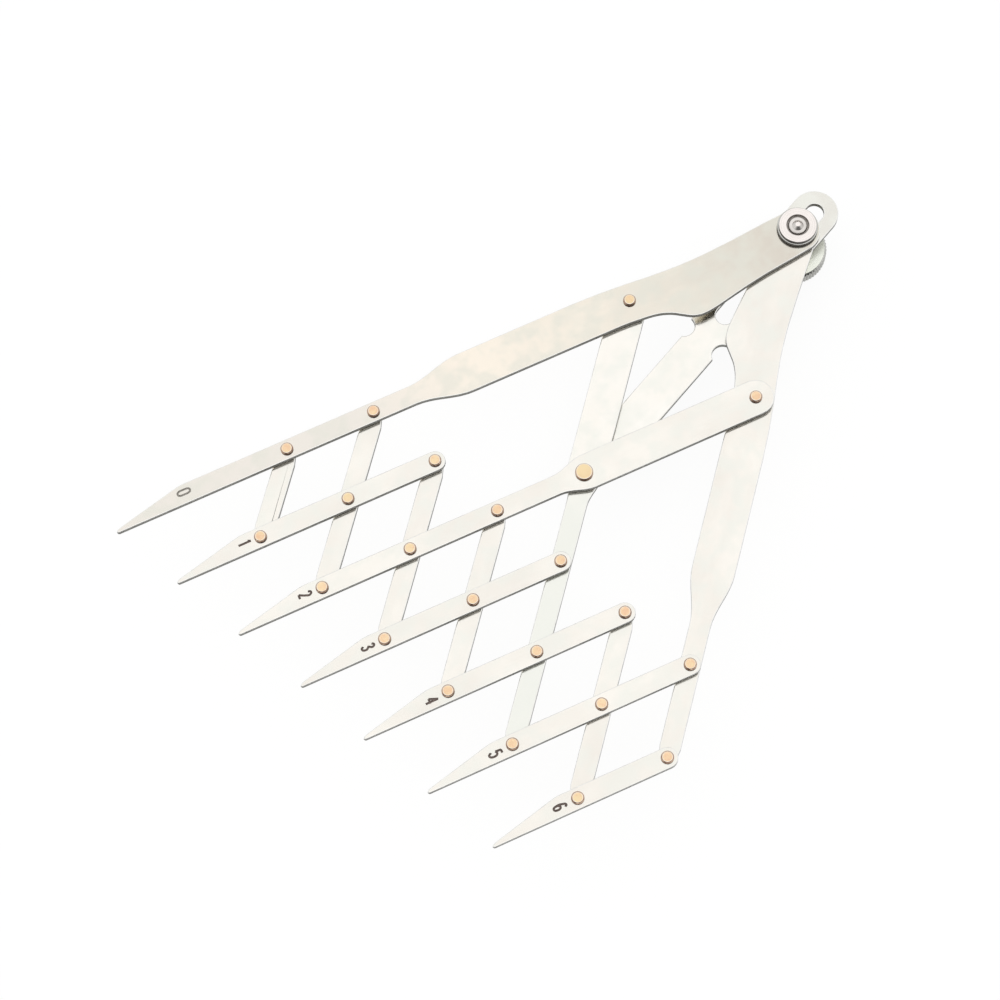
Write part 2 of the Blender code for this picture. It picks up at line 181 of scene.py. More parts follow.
# Strokes of the numbers, as shares of their height: right and up from the middle. A flag says
# whether the stroke closes on itself.
DIGIT_STROKES = {
    0: [([(0.0, 0.5), (0.26, 0.0), (0.0, -0.5), (-0.26, 0.0)], True)],
    1: [([(0.0, 0.5), (0.0, -0.5)], False), ([(0.01, 0.49), (-0.13, 0.27)], False)],
    2: [([(-0.20, 0.28), (-0.04, 0.48), (0.19, 0.32), (0.10, 0.02), (-0.21, -0.46)], False),
        ([(-0.23, -0.47), (0.22, -0.48)], False)],
    3: [([(-0.19, 0.34), (-0.01, 0.49), (0.17, 0.28), (-0.03, 0.05)], False),
        ([(-0.05, 0.08), (0.21, -0.20), (0.0, -0.49), (-0.21, -0.33)], False)],
    4: [([(0.10, 0.51), (-0.25, -0.17)], False), ([(-0.27, -0.155), (0.24, -0.165)], False),
        ([(0.085, 0.49), (0.095, -0.5)], False)],
    5: [([(0.19, 0.48), (-0.16, 0.47)], False), ([(-0.15, 0.49), (-0.20, 0.04)], False),
        ([(-0.21, 0.05), (0.05, 0.12), (0.24, -0.18), (0.0, -0.50), (-0.24, -0.30)], False)],
    6: [([(0.19, 0.36), (0.03, 0.49), (-0.17, 0.22), (-0.21, -0.20), (0.0, -0.49), (0.21, -0.22),
          (0.0, 0.04), (-0.20, -0.16)], False)],
}

# Where each number stands: back from the point, and to the left of the bar's middle line
DIGIT_PLACES = {0: (0.01617, -0.00035), 1: (0.01612, -0.00008), 2: (0.01589, -0.00007),
                3: (0.0159, 0.00011), 4: (0.01583, 0.00038), 5: (0.01579, 0.00033),
                6: (0.01567, 0.00016)}

# Which number stands on which bar
POINT_BARS = {0: "point_arm_0", 1: "point_bar_1", 2: "point_lever_2", 3: "point_bar_3",
              4: "point_bar_4", 5: "point_bar_5", 6: "point_bar_6"}
LINKS = ("link_0", "link_1", "link_2", "link_3", "link_lever_4", "link_5", "handle_arm")

# The photograph's camera
CAMERA_PLACE = (0.198073, 0.107520, 0.518539)
CAMERA_RIGHT = (-0.64564, 0.76277, -0.03651)
CAMERA_DOWN = (0.73483, 0.60755, -0.30151)
CAMERA_FORWARD = (-0.20780, -0.22150, -0.95276)
CAMERA_LENS = 90.826
CAMERA_SENSOR = 36.0

# Floor and light
FLOOR_SIZE = 4.0
FLOOR_COLOUR = (0.94, 0.94, 0.93, 1.0)
FLOOR_SHOW = 0.88
FLOOR_GLOW = 1.03
ZENITH_LIGHT = 1.02
HORIZON_LIGHT = 0.78
ZENITH_HEIGHT = 0.75
WINDOW_WAY = (0.296, 0.315, 0.902)
WINDOW_LIGHT = 0.45
WINDOW_NARROWNESS = 24.0
DARK_WAY = (0.684, 0.729, 0.0)
DARK_START = 0.42
DARK_FULL = 0.78
DARK_SHARE = 0.9
WHITE = (1.0, 1.0, 1.0, 1.0)

# Noise that lies under the finishes. Scales are per metre, and a stretch draws the noise out along
# its piece. A finish turns from its one tone to its other between the low and the high limit.
BUMP_DISTANCE = 0.00001
PLAIN_DETAIL = 2.0
FINE_DETAIL = 3.0
TONE_LOW = 0.36
TONE_HIGH = 0.64

# Rolled sheet: lines, clouds and specks, then patches of a cooler tone
LINE_SCALE = 5200.0
LINE_STRETCH = 60.0
LINE_SHARE = 0.20
LINE_ROUGHNESS = 0.10
LINE_BUMP = 0.12
CLOUD_SCALE = 115.0
CLOUD_STRETCH = 1.8
CLOUD_NOISE_ROUGHNESS = 0.55
CLOUD_SHARE = 0.72
CLOUD_ROUGHNESS = 0.06
SPECK_SCALE = 900.0
SPECK_SHARE = 0.08
SHEET_ROUGHNESS = 0.09
STRETCH_SHARE = 0.85
COOL_SCALE = 240.0
COOL_LOW = 0.42
COOL_HIGH = 0.64
COOL_SHARE = 0.55

# Grained finishes
GRAIN_ROUGHNESS = 0.12
GRAIN_BUMP = 0.15

# Copper tops: clouds and a fine grain, then dulled patches, some small and some large
COPPER_CLOUD_SCALE = 620.0
COPPER_GRAIN_SCALE = 3600.0
COPPER_CLOUD_SHARE = 0.5
COPPER_GRAIN_SHARE = 0.5
COPPER_LOW = 0.40
COPPER_HIGH = 0.58
SMALL_PATCH_SCALE = 900.0
SMALL_PATCH_SHARE = 0.4
LARGE_PATCH_SCALE = 45.0
LARGE_PATCH_SHARE = 0.6
PATCH_LOW = 0.44
PATCH_HIGH = 0.62
PATCH_STRENGTH = 0.7
COPPER_ROUGHNESS = 0.26
COPPER_GRAIN_ROUGHNESS = 0.12
COPPER_BUMP = 0.2

# Turned steel: rings and clouds
RING_SHARE = 0.55
RING_ROUGHNESS = 0.14
RING_BUMP = 0.15
TURNED_CLOUD_SCALE = 300.0
TURNED_CLOUD_SHARE = 0.45

# Knurled rim: its teeth, painted as highlight on the crests and shade between them, and a grain
TOOTH_LOW = -0.6
TOOTH_HIGH = 1.0
TOOTH_SHARE = 0.75
KNURL_GRAIN_SCALE = 1500.0
KNURL_GRAIN_LOW = 0.45
KNURL_GRAIN_HIGH = 0.65
KNURL_GRAIN_SHARE = 0.25
KNURL_METALLIC = 0.9
KNURL_ROUGHNESS = 0.30
KNURL_GRAIN_ROUGHNESS = 0.15

# Colours of the finishes, linear
ARM_PALE = (0.86, 0.815, 0.72, 1.0)
ARM_GREY = (0.75, 0.71, 0.63, 1.0)
# Painted sheen: arm 0 turns paler further out along its length.
ARM_SHEEN = (0.99, 0.905, 0.79, 1.0)
ARM_COOL = (0.77, 0.77, 0.69, 1.0)
ARM_TIP = (0.84, 0.80, 0.745, 1.0)
# Painted shade: arm 0 turns darker towards its hub end.
ARM_HUB_SHADE = (0.70, 0.65, 0.575, 1.0)
SHEET_PALE = (0.965, 0.93, 0.865, 1.0)
SHEET_GREY = (0.885, 0.845, 0.78, 1.0)
SHEET_COOL = (0.87, 0.88, 0.82, 1.0)
STRIP_PALE = (0.99, 0.965, 0.91, 1.0)
# The strip turns greyer towards its tab end.
STRIP_TAB_GREY = (0.78, 0.765, 0.71, 1.0)
# Painted shade: the dark underside of the slotted strip.
FOOT_DARK = (0.26, 0.26, 0.24, 1.0)
FOOT_GREY = (0.40, 0.40, 0.37, 1.0)
ROLLED_PALE = (0.93, 0.925, 0.90, 1.0)
ROLLED_GREY = (0.84, 0.83, 0.80, 1.0)
# Cut edges: grey partly from their rough sheared finish and partly as painted shade.
CUT_PALE = (0.28, 0.275, 0.25, 1.0)
CUT_DARK = (0.17, 0.165, 0.15, 1.0)
GROOVE_DARK = (0.16, 0.12, 0.105, 1.0)
GROOVE_GREY = (0.27, 0.215, 0.19, 1.0)
FAINT_DARK = (0.34, 0.32, 0.285, 1.0)
FAINT_GREY = (0.46, 0.44, 0.40, 1.0)
COPPER_PALE = (0.96, 0.745, 0.48, 1.0)
COPPER_DEEP = (0.89, 0.59, 0.39, 1.0)
COPPER_DULL = (0.90, 0.74, 0.44, 1.0)
# Painted highlight: the paler rolled rim round each rivet's top.
RIM_HIGHLIGHT_PALE = (1.0, 0.90, 0.78, 1.0)
RIM_HIGHLIGHT_DEEP = (0.94, 0.78, 0.61, 1.0)
# Painted shade: the dark brown upright wall of each rivet head.
WALL_SHADE_DARK = (0.08, 0.032, 0.026, 1.0)
WALL_SHADE_BROWN = (0.20, 0.10, 0.07, 1.0)
# Painted shade: the brown skirt below each rivet head's rim.
SKIRT_DEEP = (0.40, 0.25, 0.18, 1.0)
SKIRT_PALE = (0.66, 0.48, 0.36, 1.0)
TURNED_PALE = (0.97, 0.91, 0.88, 1.0)
TURNED_GREY = (0.86, 0.81, 0.77, 1.0)
# Painted shade: the nut's dark upright sides.
SIDE_DARK = (0.06, 0.055, 0.048, 1.0)
SIDE_GREY = (0.17, 0.16, 0.145, 1.0)
# Painted shade: the grey mouth of the nut round the screw's end.
MOUTH_DARK = (0.28, 0.255, 0.235, 1.0)
MOUTH_GREY = (0.42, 0.39, 0.36, 1.0)
SCREW_PALE = (0.97, 0.985, 0.90, 1.0)
SCREW_GREY = (0.86, 0.88, 0.79, 1.0)
END_PALE = (0.86, 0.82, 0.79, 1.0)
END_GREY = (0.60, 0.57, 0.54, 1.0)
# Painted shade: the darker steel of the flange's ledge and the knob's slope ring.
GRIP_PALE = (0.60, 0.60, 0.57, 1.0)
GRIP_GREY = (0.42, 0.42, 0.395, 1.0)
# Painted highlight and shade: the knurl's pale crests and dark roots.
KNURL_CREST = (0.54, 0.54, 0.51, 1.0)
KNURL_ROOT = (0.32, 0.32, 0.30, 1.0)


class Value:
    """One output of a node. Its operators add Math nodes."""

    def __init__(self, finish, socket):
        self.finish = finish
        self.socket = socket

    def math(self, operation, first, second):
        return self.finish.node("ShaderNodeMath", {"operation": operation}, {0: first, 1: second})

    def __add__(self, other):
        return self.math("ADD", self, other)

    def __radd__(self, other):
        return self.math("ADD", other, self)

    def __sub__(self, other):
        return self.math("SUBTRACT", self, other)

    def __rsub__(self, other):
        return self.math("SUBTRACT", other, self)

    def __mul__(self, other):
        return self.math("MULTIPLY", self, other)

    def __rmul__(self, other):
        return self.math("MULTIPLY", other, self)

    def __pow__(self, other):
        return self.math("POWER", self, other)


class Finish:
    """The nodes of one material or of the world."""

    def __init__(self, holder):
        holder.use_nodes = True
        self.holder = holder
        self.tree = holder.node_tree

    def node(self, kind, settings=None, sockets=None, output=0):
        """A node of a type: its settings first, then the values or links of its sockets."""
        made = self.tree.nodes.new(kind)
        for setting, value in (settings or {}).items():
            setattr(made, setting, value)
        for socket, value in (sockets or {}).items():
            if isinstance(value, Value):
                self.tree.links.new(value.socket, made.inputs[socket])
            else:
                made.inputs[socket].default_value = value
        return Value(self, made.outputs[output])

    def mix(self, factor, first, second):
        """A colour between two colours."""
        return self.node("ShaderNodeMix", {"data_type": "RGBA"}, {0: factor, 6: first, 7: second},
                         output=2)

    def noise(self, place, scale, detail=PLAIN_DETAIL, roughness=0.5):
        return self.node("ShaderNodeTexNoise", None,
                         {"Vector": place, "Scale": scale, "Detail": detail,
                          "Roughness": roughness})

    def bump(self, height, strength):
        return self.node("ShaderNodeBump", None,
                         {"Strength": strength, "Distance": BUMP_DISTANCE, "Height": height})

    def ramp(self, value, low, high):
        """Zero below low, one above high."""
        return self.node("ShaderNodeMapRange", {"clamp": True},
                         {"Value": value, "From Min": low, "From Max": high})

    def facing(self, place, way):
        """How far a place lies along a direction."""
        return self.node("ShaderNodeVectorMath", {"operation": "DOT_PRODUCT"}, {0: place, 1: way},
                         output="Value")

    def shader(self, **sockets):
        """Sets the material's own shader."""
        shader = self.tree.nodes["Principled BSDF"]
        for socket, value in sockets.items():
            target = shader.inputs[socket.replace("_", " ")]
            if isinstance(value, Value):
                self.tree.links.new(value.socket, target)
            else:
                target.default_value = value


def new_finish(name):
    return Finish(bpy.data.materials.new(name))


def object_place(finish):
    return finish.node("ShaderNodeTexCoord", output="Object")


def turned_place(finish, turn, stretch):
    """Object coordinates laid along a piece that lies at an angle, drawn out along its length."""
    return finish.node("ShaderNodeMapping", {"vector_type": "TEXTURE"},
                       {"Vector": object_place(finish), "Rotation": (0.0, 0.0, turn),
                        "Scale": (stretch, 1.0, 1.0)})


def tinted(finish, colour, cool):
    """A colour that turns cooler in soft patches."""
    patches = finish.noise(object_place(finish), COOL_SCALE)
    return finish.mix(finish.ramp(patches, COOL_LOW, COOL_HIGH) * COOL_SHARE, colour, cool)


def sheet_finish(name, pale, grey, cool, turn, stretches=()):
    """Rolled sheet steel: faint lines along the piece, broad clouds, specks and cooler patches.

    Each stretch names a colour and from where to where along the piece the sheet turns to it.
    """
    finish = new_finish(name)
    lines = finish.noise(turned_place(finish, turn, LINE_STRETCH), LINE_SCALE, FINE_DETAIL)
    clouds = finish.noise(turned_place(finish, turn, CLOUD_STRETCH), CLOUD_SCALE, FINE_DETAIL,
                          CLOUD_NOISE_ROUGHNESS)
    specks = finish.noise(object_place(finish), SPECK_SCALE)
    mixed = clouds * CLOUD_SHARE + lines * LINE_SHARE + specks * SPECK_SHARE
    colour = finish.mix(finish.ramp(mixed, TONE_LOW, TONE_HIGH), grey, pale)
    for other, start, end in stretches:
        along = finish.node("ShaderNodeSeparateXYZ", None, {0: turned_place(finish, turn, 1.0)})
        colour = finish.mix(finish.ramp(along, start, end) * STRETCH_SHARE, colour, other)
    finish.shader(Base_Color=tinted(finish, colour, cool), Metallic=1.0,
                  Roughness=SHEET_ROUGHNESS + lines * LINE_ROUGHNESS + clouds * CLOUD_ROUGHNESS,
                  Normal=finish.bump(lines, LINE_BUMP))
    return finish.holder


def grained_finish(name, dark, pale, scale, low, high, metallic, roughness):
    """A finish with a fine grain of two tones."""
    finish = new_finish(name)
    grain = finish.noise(object_place(finish), scale, FINE_DETAIL)
    finish.shader(Base_Color=finish.mix(finish.ramp(grain, low, high), dark, pale),
                  Metallic=metallic, Roughness=roughness + grain * GRAIN_ROUGHNESS,
                  Normal=finish.bump(grain, GRAIN_BUMP))
    return finish.holder


def copper_finish():
    """Rivet tops worn bright, deeper or duller in places."""
    finish = new_finish("copper_top")
    clouds = finish.noise(object_place(finish), COPPER_CLOUD_SCALE)
    fine = finish.noise(object_place(finish), COPPER_GRAIN_SCALE)
    mixed = clouds * COPPER_CLOUD_SHARE + fine * COPPER_GRAIN_SHARE
    tone = finish.ramp(mixed, COPPER_LOW, COPPER_HIGH)
    small = finish.noise(object_place(finish), SMALL_PATCH_SCALE)
    large = finish.noise(object_place(finish), LARGE_PATCH_SCALE)
    patches = small * SMALL_PATCH_SHARE + large * LARGE_PATCH_SHARE
    dulled = finish.ramp(patches, PATCH_LOW, PATCH_HIGH)
    colour = finish.mix(tone, COPPER_DEEP, COPPER_PALE)
    finish.shader(Base_Color=finish.mix(dulled * PATCH_STRENGTH, colour, COPPER_DULL), Metallic=1.0,
                  Roughness=COPPER_ROUGHNESS + fine * COPPER_GRAIN_ROUGHNESS,
                  Normal=finish.bump(fine, COPPER_BUMP))
    return finish.holder


def axis_distance(finish):
    """How far a place lies from the pivot axis."""
    flat = finish.node("ShaderNodeVectorMath", {"operation": "MULTIPLY"},
                       {0: object_place(finish), 1: (1.0, 1.0, 0.0)})
    return finish.node("ShaderNodeVectorMath", {"operation": "LENGTH"}, {0: flat}, output="Value")


def turned_finish(name, pale, grey, rings, roughness):
    """Steel turned on a lathe: fine rings round the pivot axis under broad clouds."""
    finish = new_finish(name)
    ring = finish.node("ShaderNodeTexNoise", {"noise_dimensions": "1D"},
                       {"W": axis_distance(finish), "Scale": rings, "Detail": PLAIN_DETAIL})
    clouds = finish.noise(object_place(finish), TURNED_CLOUD_SCALE)
    mixed = ring * RING_SHARE + clouds * TURNED_CLOUD_SHARE
    finish.shader(Base_Color=finish.mix(finish.ramp(mixed, TONE_LOW, TONE_HIGH), grey, pale),
                  Metallic=1.0, Roughness=roughness + ring * RING_ROUGHNESS,
                  Normal=finish.bump(ring, RING_BUMP))
    return finish.holder


def knurl_finish():
    """The grip's rolled rim, darkened with painted shade: pale crests as painted highlight, dark
    roots as painted shade.
    """
    finish = new_finish("knurl_steel")
    place = object_place(finish)
    right = finish.node("ShaderNodeSeparateXYZ", None, {0: place})
    ahead = finish.node("ShaderNodeSeparateXYZ", None, {0: place}, output=1)
    turn = finish.node("ShaderNodeMath", {"operation": "ARCTAN2"}, {0: ahead, 1: right})
    teeth = finish.node("ShaderNodeMath", {"operation": "COSINE"}, {0: turn * float(KNURL_TEETH)})
    grain = finish.noise(place, KNURL_GRAIN_SCALE, FINE_DETAIL)
    worn = finish.ramp(grain, KNURL_GRAIN_LOW, KNURL_GRAIN_HIGH)
    tone = finish.ramp(teeth, TOOTH_LOW, TOOTH_HIGH) * TOOTH_SHARE + worn * KNURL_GRAIN_SHARE
    finish.shader(Base_Color=finish.mix(tone, KNURL_ROOT, KNURL_CREST), Metallic=KNURL_METALLIC,
                  Roughness=KNURL_ROUGHNESS + grain * KNURL_GRAIN_ROUGHNESS)
    return finish.holder


def floor_finish():
    """White to the eye, to glossy metal and through glass, with the object's shadow kept."""
    finish = new_finish("white_floor")
    path = "ShaderNodeLightPath"
    seen = finish.node(path, output="Is Camera Ray")
    for ray in ("Is Glossy Ray", "Is Transmission Ray"):
        seen = finish.node("ShaderNodeMath", {"operation": "MAXIMUM"},
                           {0: seen, 1: finish.node(path, output=ray)})
    plain = finish.node("ShaderNodeBsdfDiffuse", None, {"Color": FLOOR_COLOUR})
    white = finish.node("ShaderNodeEmission", None, {"Color": WHITE, "Strength": FLOOR_GLOW})
    shown = finish.node("ShaderNodeMixShader", None, {0: seen * FLOOR_SHOW, 1: plain, 2: white})
    finish.tree.links.new(shown.socket, finish.tree.nodes["Material Output"].inputs["Surface"])
    return finish.holder


def merged_copy(node):
    """A copy of a solid's mesh with its loose triangles merged."""
    shape = bmesh.new()
    shape.from_mesh(frame["nodes"][node].data)
    bmesh.ops.remove_doubles(shape, verts=shape.verts, dist=MERGE_DISTANCE)
    return shape


def round_rims(piece):
    """Makes flat faces whole, rolls their rims and gives all but engraved faces their finish."""
    shape = bmesh.new()
    shape.from_mesh(piece.data)
    bmesh.ops.dissolve_limit(shape, angle_limit=FLAT_LIMIT, verts=shape.verts, edges=shape.edges,
                             use_dissolve_boundaries=False, delimit={"MATERIAL"})
    for width, facing in ((TOP_RIM_WIDTH, 1.0), (FOOT_RIM_WIDTH, -1.0)):
        shape.normal_update()
        rims = [edge for edge in shape.edges if len(edge.link_faces) == 2
                and not any(face.material_index == ENGRAVED for face in edge.link_faces)
                and sum(face.normal.z * facing > FLAT_NORMAL for face in edge.link_faces) == 1]
        bmesh.ops.bevel(shape, geom=rims, offset=width, offset_type="OFFSET", segments=RIM_SEGMENTS,
                        profile=RIM_PROFILE, affect="EDGES", clamp_overlap=False, material=-1)
    shape.normal_update()
    for face in shape.faces:
        upright = abs(face.normal.z)
        face.smooth = upright < LEVEL_NORMAL
        if face.material_index == ENGRAVED:
            continue
        if upright >= LEVEL_NORMAL:
            face.material_index = FLAT
        else:
            # Upright faces take the cut edge's grey, partly painted shade.
            face.material_index = ROLLED if upright > ROLLED_NORMAL else CUT
    sharpen(shape)
    shape.to_mesh(piece.data)
    shape.free()


def sharpen(shape):
    """Marks the real corners sharp, so that smooth shading stops there."""
    for edge in shape.edges:
        if len(edge.link_faces) == 2:
            edge.smooth = edge.calc_face_angle() < SHARP_LIMIT


def finished(name, shape, materials):
    """A bmesh made into an object at the origin."""
    data = bpy.data.meshes.new(name)
    shape.to_mesh(data)
    shape.free()
    made = bpy.data.objects.new(name, data)
    bpy.context.scene.collection.objects.link(made)
    for material in materials:
        data.materials.append(material)
    return made


def settle(piece, node):
    """The piece stands for the node and rides on its body."""
    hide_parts(node)
    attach(piece, frame["nodes"][node]["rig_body"])


def sheet_piece(node, face_material, number=None, underside=None):
    """A flat piece: the solid's own shape, its number cut in, then its rims rolled."""
    piece = finished(f"{node}_sheet", merged_copy(node), [face_material, rolled_rim, cut_edge])
    if number is not None:
        engrave(piece, node, number)
    round_rims(piece)
    # An underside finish, where given, is painted shade.
    if underside is not None:
        piece.data.materials.append(underside)
        for face in piece.data.polygons:
            if face.normal.z < -LEVEL_NORMAL:
                face.material_index = FOOT
    settle(piece, node)


def evaluated_mesh(holder):
    """A new mesh of an object as its curve settings or modifiers make it."""
    bpy.context.view_layer.update()
    graph = bpy.context.evaluated_depsgraph_get()
    return bpy.data.meshes.new_from_object(holder.evaluated_get(graph))


def stroke_tube(points, closed, radius):
    """One stroke of a number as a round tube, drawn round the origin."""
    curve = bpy.data.curves.new("stroke", "CURVE")
    curve.dimensions = "3D"
    curve.bevel_depth = radius
    curve.bevel_resolution = STROKE_SIDES
    curve.resolution_u = STROKE_STEPS
    curve.use_fill_caps = True
    spline = curve.splines.new("BEZIER")
    spline.bezier_points.add(len(points) - 1)
    for point, (right, up) in zip(spline.bezier_points, points):
        point.co = (right * DIGIT_HEIGHT * DIGIT_SLIMNESS, up * DIGIT_HEIGHT, 0.0)
        point.handle_left_type = "AUTO"
        point.handle_right_type = "AUTO"
    spline.use_cyclic_u = closed
    holder = bpy.data.objects.new("stroke", curve)
    bpy.context.scene.collection.objects.link(holder)
    data = evaluated_mesh(holder)
    bpy.data.objects.remove(holder, do_unlink=True)
    bpy.data.curves.remove(curve)
    return data


def tip_of(node):
    """The point of a bar: as far along as its furthest corner, in line with its rivets."""
    reach = max(vertex.co.dot(BAR_WAY) for vertex in frame["nodes"][node].data.vertices)
    rivets = [name for name in frame["nodes"] if name.startswith(f"rivet_{node}_")]
    low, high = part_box(rivets[0])
    middle = (low + high) / 2
    return BAR_WAY * reach + BAR_LEFT * middle.dot(BAR_LEFT)


def engrave(piece, node, digit):
    """Cuts a number into the top of a bar, its foot towards the point."""
    back, aside = DIGIT_PLACES[digit]
    place = tip_of(node) - BAR_WAY * back + BAR_LEFT * aside
    place.z = BAR_TOP - STROKE_SINK
    turn = Matrix((BAR_LEFT, -BAR_WAY, Vector((0.0, 0.0, 1.0)))).transposed().to_4x4()
    radius = FAINT_STROKE_RADIUS if digit == 0 else STROKE_RADIUS
    finish = faint_engraving if digit == 0 else engraving
    for points, closed in DIGIT_STROKES[digit]:
        shape = bmesh.new()
        shape.from_mesh(stroke_tube(points, closed, radius))
        bmesh.ops.remove_doubles(shape, verts=shape.verts, dist=MERGE_DISTANCE)
        bmesh.ops.transform(shape, matrix=Matrix.Translation(place) @ turn, verts=shape.verts)
        bmesh.ops.recalc_face_normals(shape, faces=shape.faces)
        cut_away(piece, finished("cutter", shape, [finish]))


def cut_away(piece, cutter):
    """Takes the cutter's shape out of the piece and leaves the cutter's finish on the cut."""
    cut = piece.modifiers.new("cut", "BOOLEAN")
    cut.operation = "DIFFERENCE"
    cut.object = cutter
    cut.solver = "EXACT"
    cut.use_self = True
    cut.material_mode = "TRANSFER"
    data = evaluated_mesh(piece)
    piece.modifiers.remove(cut)
    piece.data = data
    bpy.data.objects.remove(cutter, do_unlink=True)


def rounding(radius, height, size, start):
    """Points on a quarter circle from one angle on, clockwise, about a centre."""
    turns = [math.radians(start - 90.0 * step / ROUND_STEPS) for step in range(ROUND_STEPS + 1)]
    return [(radius + size * math.cos(turn), height + size * math.sin(turn)) for turn in turns]


def spun(profile, middle, steps, closed=False):
    """A profile of (radius, height) pairs turned round the upright axis through a place."""
    shape = bmesh.new()
    corners = [shape.verts.new((middle.x + radius, middle.y, height)) for radius, height in profile]
    edges = [shape.edges.new(pair) for pair in zip(corners, corners[1:])]
    if closed:
        edges.append(shape.edges.new((corners[-1], corners[0])))
    bmesh.ops.spin(shape, geom=corners + edges, cent=(middle.x, middle.y, 0.0),
                   axis=(0.0, 0.0, 1.0), dvec=(0.0, 0.0, 0.0), angle=2 * math.pi, steps=steps,
                   use_merge=True, use_normal_flip=False, use_duplicate=False)
    bmesh.ops.remove_doubles(shape, verts=shape.verts, dist=MERGE_DISTANCE)
    bmesh.ops.recalc_face_normals(shape, faces=shape.faces)
    for face in shape.faces:
        face.smooth = True
    return shape


def rivet_piece(node):
    """A copper rivet: dished worn top, rolled rim paler as painted highlight, skirt and wall
    darkened with painted shade, shank and formed tail.
    """
    low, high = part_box(node)
    centre = node == "centre_rivet"
    head = CENTRE_HEAD_RADIUS if centre else HEAD_RADIUS
    shank = CENTRE_SHANK_RADIUS if centre else SHANK_RADIUS
    reach = head * (CENTRE_TOP_SHARE if centre else TOP_SHARE)
    top = [(reach * share, -DISH_DEPTH * depth) for share, depth in TOP_SHARES]
    top += rounding(reach - TOP_ROUNDING, -TOP_ROUNDING, TOP_ROUNDING, 90.0)
    top += [(head, -TOP_ROUNDING - SKIRT_DROP), (head, -HEAD_HEIGHT), (shank, -HEAD_HEIGHT)]
    profile = [(radius, high.z + height) for radius, height in top]
    profile += [(radius, low.z - height) for radius, height in reversed(top)]
    middle = (low + high) / 2
    shape = spun(profile, middle, RIVET_STEPS)
    shape.normal_update()
    finishes = [copper, copper_skirt, copper_highlight_rim, painted_wall_shade]
    for face in shape.faces:
        upright = abs(face.normal.z)
        # The upright wall and the skirt are darkened with painted shade.
        if upright < WALL_NORMAL:
            finish = painted_wall_shade
        elif upright < SKIRT_NORMAL:
            finish = copper_skirt
        else:
            # The rounded rim round the top is made paler as painted highlight.
            outside = math.hypot(*(face.calc_center_median() - middle).xy) > reach - TOP_ROUNDING
            finish = copper_highlight_rim if outside else copper
        face.material_index = finishes.index(finish)
    sharpen(shape)
    settle(finished(f"{node}_copper", shape, finishes), node)


def front_nut_piece():
    """The nut on its flange; its mouth round the screw's end and its upright sides are darkened
    with painted shade.
    """
    low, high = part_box("front_nut")
    flange_top = low.z + FLANGE_HEIGHT
    mouth_floor = high.z - MOUTH_DEPTH
    profile = [(BORE_RADIUS, low.z), (BORE_RADIUS, mouth_floor), (MOUTH_RADIUS, mouth_floor)]
    profile += rounding(MOUTH_RADIUS + MOUTH_ROUNDING, high.z - MOUTH_ROUNDING, MOUTH_ROUNDING,
                        180.0)
    profile += rounding(NUT_RADIUS - NUT_ROUNDING, high.z - NUT_ROUNDING, NUT_ROUNDING, 90.0)
    profile += [(NUT_RADIUS, flange_top)]
    profile += rounding(FLANGE_RADIUS - FLANGE_ROUNDING, flange_top - FLANGE_ROUNDING,
                        FLANGE_ROUNDING, 90.0)
    profile += [(FLANGE_RADIUS, low.z)]
    shape = spun(profile, (low + high) / 2, TURNED_STEPS, closed=True)
    shape.normal_update()
    finishes = [nut_steel, painted_shade_steel, dark_side, mouth_steel]
    for face in shape.faces:
        middle = face.calc_center_median()
        # The mouth and the upright sides get darker finishes as painted shade.
        if math.hypot(middle.x, middle.y) < MOUTH_RADIUS and middle.z < high.z:
            finish = mouth_steel
        elif abs(face.normal.z) < SIDE_NORMAL:
            finish = dark_side
        else:
            # The flange's ledge takes the steel darkened with painted shade.
            finish = painted_shade_steel if middle.z < flange_top + MERGE_DISTANCE else nut_steel
        face.material_index = finishes.index(finish)
    sharpen(shape)
    settle(finished("front_nut_turned", shape, finishes), "front_nut")


def washer_piece():
    """The washer, with rounded outer rims."""
    low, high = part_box("lock_washer")
    reach = WASHER_RADIUS - WASHER_ROUNDING
    profile = [(BORE_RADIUS, low.z), (BORE_RADIUS, high.z)]
    profile += rounding(reach, high.z - WASHER_ROUNDING, WASHER_ROUNDING, 90.0)
    profile += rounding(reach, low.z + WASHER_ROUNDING, WASHER_ROUNDING, 0.0)
    shape = spun(profile, (low + high) / 2, TURNED_STEPS, closed=True)
    sharpen(shape)
    settle(finished("lock_washer_turned", shape, [screw_steel]), "lock_washer")


